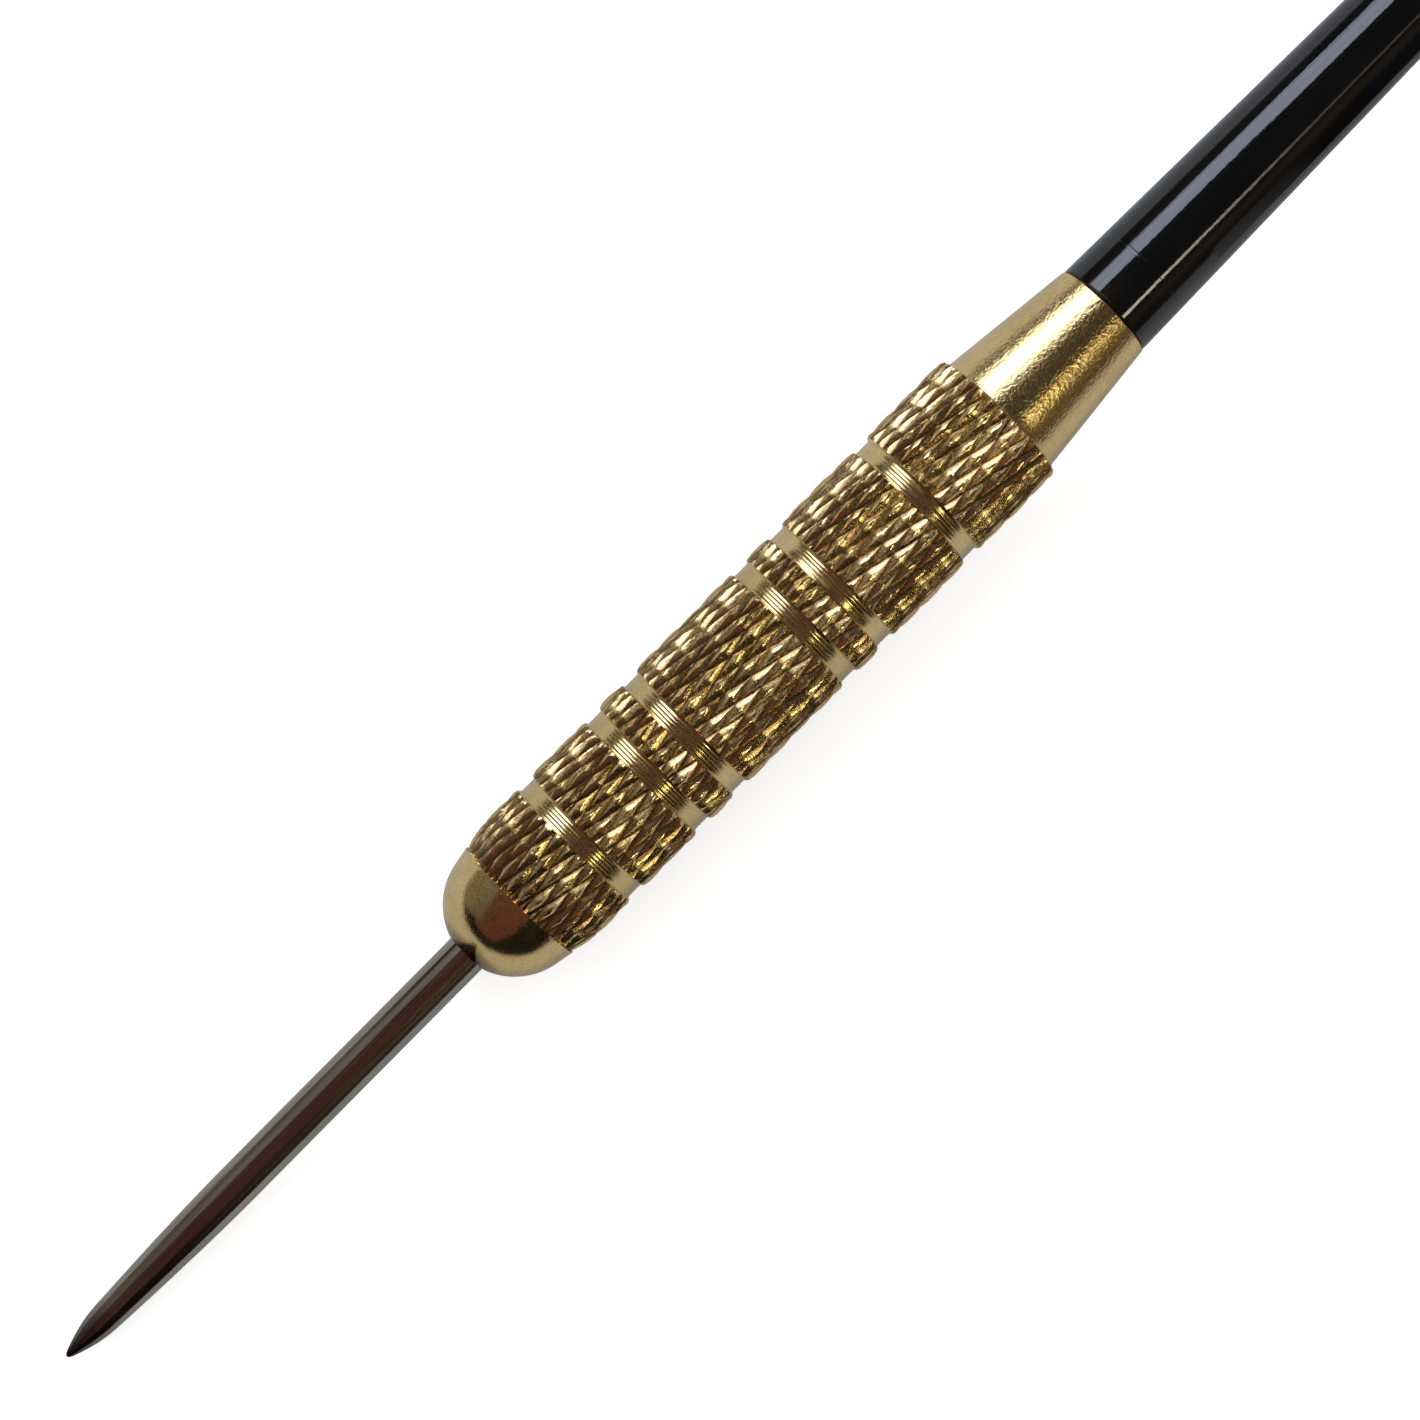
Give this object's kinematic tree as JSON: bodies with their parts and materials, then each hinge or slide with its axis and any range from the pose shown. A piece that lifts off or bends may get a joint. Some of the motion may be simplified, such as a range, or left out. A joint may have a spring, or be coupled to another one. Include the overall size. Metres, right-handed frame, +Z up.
{
  "type": "steel-tip dart",
  "caption": "Steel-tip throwing dart with a pressed point, knurled brass barrel, screw-in tapered shaft, stem ring and folded film flight.",
  "frame": {"origin": "the sharp end of the steel point, on the dart's axis", "axes": "+X along the dart's axis from the point to the flight, +Z up, with the four wings at 45 degrees to +Y and +Z"},
  "size_m": [0.1609, 0.0284, 0.0284],
  "materials": {
    "point_steel": "dark ground steel",
    "barrel_brass": "bright turned and knurled brass",
    "shaft_plastic": "glossy black moulded plastic",
    "ring_steel": "bright turned steel",
    "flight_film": "satin embossed film"
  },
  "bodies": {
    "barrel": {"barrel": "barrel_brass", "steel_point": "point_steel"},
    "stem_ring": {"stem_ring": "ring_steel"},
    "shaft": {"shaft": "shaft_plastic"},
    "flight": {"flight": "flight_film"}
  },
  "joints": [
    {"name": "shaft_travel", "type": "slide", "parent": "barrel", "child": "stem_ring", "axis": [1, 0, 0], "range_m": [0, 0.00688]},
    {"name": "shaft_turn", "type": "hinge", "parent": "stem_ring", "child": "shaft", "pos_m": [0.117, 0, 0], "axis": [1, 0, 0], "range_deg": [0, 3060]},
    {"name": "flight_pull", "type": "slide", "parent": "shaft", "child": "flight", "axis": [1, 0, 0], "range_m": [0, 0.016]}
  ],
  "couplings": [
    {"joint": "shaft_turn", "follows": "shaft_travel", "rad_per_m": 7757}
  ]
}
